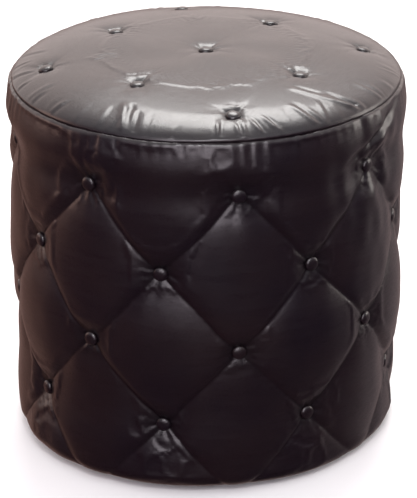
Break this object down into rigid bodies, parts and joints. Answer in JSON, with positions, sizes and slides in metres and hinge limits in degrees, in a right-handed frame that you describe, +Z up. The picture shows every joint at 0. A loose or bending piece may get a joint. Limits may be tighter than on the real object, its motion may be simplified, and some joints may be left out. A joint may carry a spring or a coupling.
{
  "type": "storage ottoman",
  "caption": "Round drum-shaped storage ottoman in dark leather, diamond-tufted with covered buttons, with a padded lift-off lid.",
  "frame": {"origin": "on the floor at the drum's axis", "axes": "+Z up along the drum's axis; -Y is the front; +X to the right seen from the front"},
  "size_m": [0.4519, 0.452, 0.4698],
  "materials": {
    "leather": "glossy espresso bonded leather, fine pebble grain",
    "plywood": "raw birch plywood",
    "pine": "raw planed pine",
    "foam": "open-cell polyurethane foam",
    "wadding": "bonded polyester wadding",
    "lining": "plain black woven lining",
    "dust_cloth": "black spunbond cloth",
    "twine": "waxed tufting twine",
    "zinc_steel": "zinc-plated steel",
    "glide_plastic": "moulded black plastic"
  },
  "bodies": {
    "drum": {"base_board": "plywood", "drum_shell": "plywood", "dust_cover": "dust_cloth", "dust_cover_staples": "zinc_steel", "glide_1": "glide_plastic", "glide_2": "glide_plastic", "glide_3": "glide_plastic", "glide_4": "glide_plastic", "glide_screws": "zinc_steel", "liner_floor": "lining", "liner_wall": "lining", "post_1": "pine", "post_2": "pine", "post_3": "pine", "post_4": "pine", "post_5": "pine", "post_6": "pine", "post_7": "pine", "post_8": "pine", "post_screws_lower": "zinc_steel", "post_screws_upper": "zinc_steel", "rim_staples": "zinc_steel", "rim_tape": "lining", "shell_joint_strip": "plywood", "side_button_caps": "leather", "side_button_eyes": "zinc_steel", "side_button_twines": "twine", "side_button_washers": "zinc_steel", "side_cover": "leather", "side_foam": "foam", "side_wadding": "wadding", "top_hoop": "plywood"},
    "lid": {"lid_board": "plywood", "lid_button_caps": "leather", "lid_button_eyes": "zinc_steel", "lid_button_twines": "twine", "lid_button_washers": "zinc_steel", "lid_cover": "leather", "lid_foam": "foam", "lid_lining": "lining", "lid_lining_staples": "zinc_steel", "lid_wadding": "wadding", "locating_ring": "plywood", "locating_ring_screws": "zinc_steel"}
  },
  "joints": [
    {"name": "lid_lift", "type": "slide", "parent": "drum", "child": "lid", "axis": [0, 0, 1], "range_m": [0, 0.4]}
  ]
}
